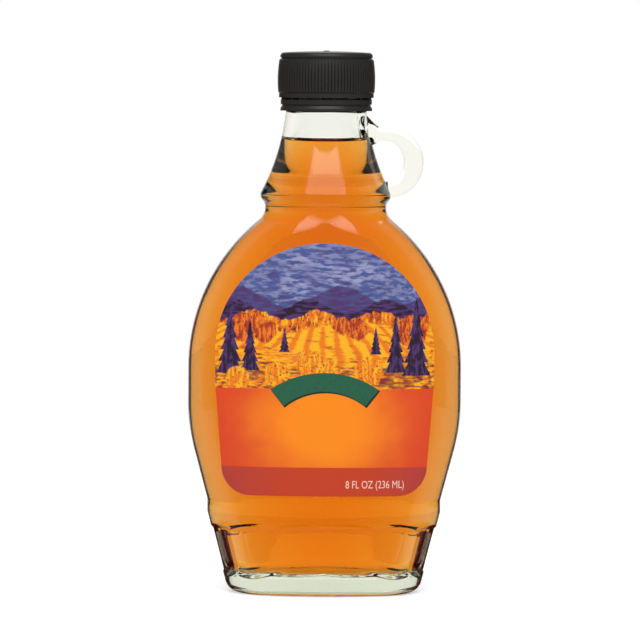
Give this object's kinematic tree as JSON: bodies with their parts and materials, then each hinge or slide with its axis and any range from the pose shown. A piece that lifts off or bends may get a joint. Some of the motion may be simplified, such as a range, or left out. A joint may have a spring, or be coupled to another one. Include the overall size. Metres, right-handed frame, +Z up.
{
  "type": "maple syrup bottle",
  "caption": "Clear glass flask of amber syrup with a small finger loop at the neck, a ribbed black screw cap and a round-topped paper label on the front.",
  "frame": {"origin": "middle of the bottle's foot, on the plane that it stands on, on the neck's axis", "axes": "+Z up along the neck, -Y out of the label's face, +X towards the finger loop"},
  "size_m": [0.0858, 0.0423, 0.1701],
  "materials": {
    "bottle_glass": "clear flint glass, moulded, polished",
    "syrup": "clear amber liquid",
    "cap_plastic": "black polypropylene, satin",
    "label_paper": "printed paper, semi-gloss"
  },
  "bodies": {
    "root": {"bottle_glass": "bottle_glass", "syrup": "syrup", "cap": "cap_plastic", "label_front": "label_paper"}
  },
  "joints": []
}
